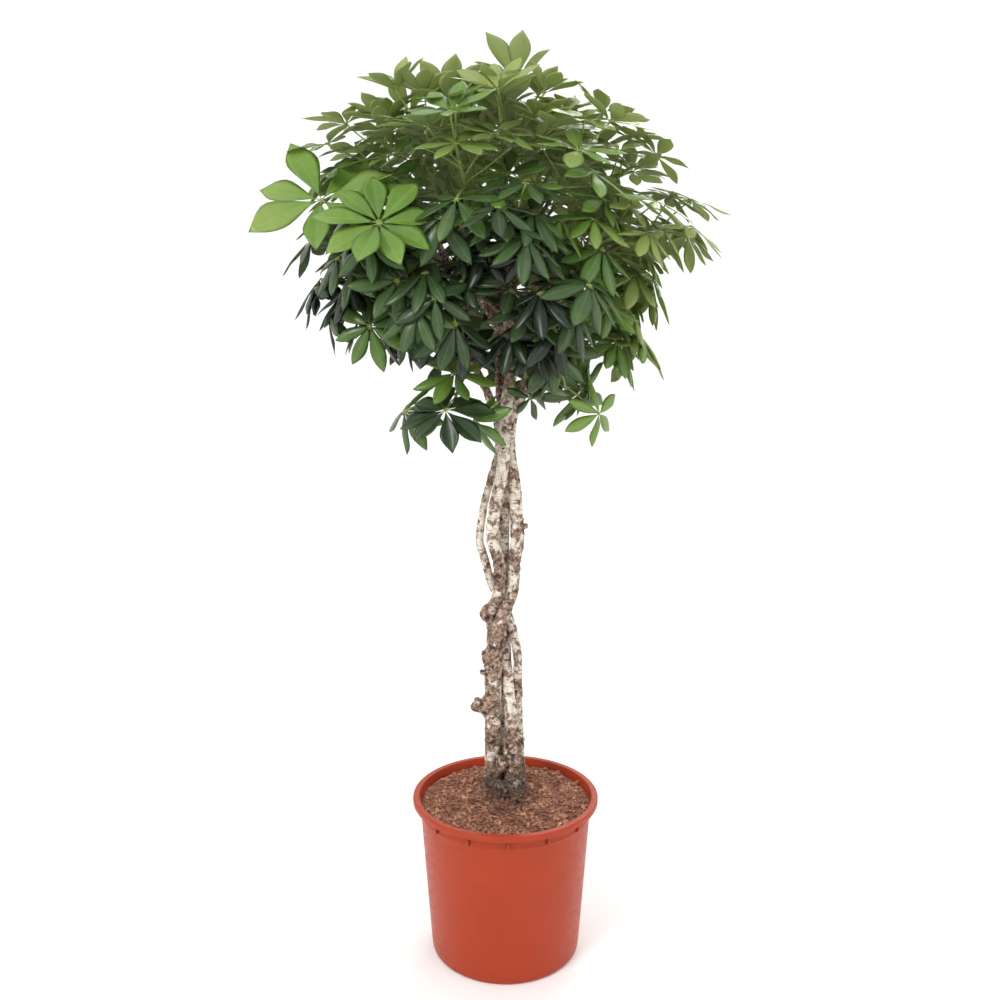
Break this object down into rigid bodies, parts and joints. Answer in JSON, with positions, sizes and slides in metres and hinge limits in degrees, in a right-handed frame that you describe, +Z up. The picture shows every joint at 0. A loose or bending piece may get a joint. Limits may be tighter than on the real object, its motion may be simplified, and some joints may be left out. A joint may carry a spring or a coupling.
{
  "type": "potted umbrella plant with a braided trunk",
  "caption": "Umbrella plant grown as a standard: braided bare stems in a round ribbed nursery pot carry one round crown of palmate leaves.",
  "frame": {"origin": "middle of the pot's flat foot, on the surface the plant stands on", "axes": "+Z up along the trunk, towards the top of the crown; the front of the plant faces -Y"},
  "size_m": [0.6247, 0.5795, 1.3689],
  "materials": {
    "pot_plastic": "moulded terracotta-coloured nursery-pot plastic, satin",
    "potting_mix": "loose bark chips and coir, matt",
    "bark": "pale peeling bark with brown scars, matt",
    "young_leaf": "young leaf, waxy and bright",
    "old_leaf": "old leaf, dark and glossy"
  },
  "bodies": {
    "root": {"pot": "pot_plastic", "shoot_far_left": "old_leaf", "shoot_far_right": "old_leaf", "shoot_heart_front": "old_leaf", "shoot_high_left": "young_leaf", "shoot_low_far_right": "old_leaf", "shoot_low_front": "old_leaf", "shoot_low_left": "old_leaf", "shoot_low_right": "old_leaf", "shoot_lower_1": "old_leaf", "shoot_lower_2": "old_leaf", "shoot_lower_3": "old_leaf", "shoot_lower_4": "old_leaf", "shoot_lower_5": "old_leaf", "shoot_lower_6": "old_leaf", "shoot_lower_7": "old_leaf", "shoot_middle_1": "young_leaf", "shoot_middle_2": "young_leaf", "shoot_middle_3": "young_leaf", "shoot_middle_4": "young_leaf", "shoot_middle_5": "young_leaf", "shoot_middle_6": "young_leaf", "shoot_middle_7": "young_leaf", "shoot_skirt_back": "old_leaf", "shoot_skirt_front": "old_leaf", "shoot_top_left": "young_leaf", "shoot_top_peak": "young_leaf", "shoot_upper_1": "young_leaf", "shoot_upper_2": "young_leaf", "shoot_upper_3": "young_leaf", "shoot_upper_4": "young_leaf", "shoot_upper_5": "young_leaf", "shoot_upper_6": "young_leaf", "shoot_wide_1": "old_leaf", "shoot_wide_2": "old_leaf", "shoot_wide_3": "old_leaf", "shoot_wide_4": "old_leaf", "shoot_wide_5": "old_leaf", "shoot_wide_6": "old_leaf", "shoot_wide_7": "old_leaf", "shoot_young_left": "young_leaf", "soil": "potting_mix", "stem_back": "bark", "stem_front": "bark", "stem_left": "bark", "stem_right": "bark"}
  },
  "joints": []
}
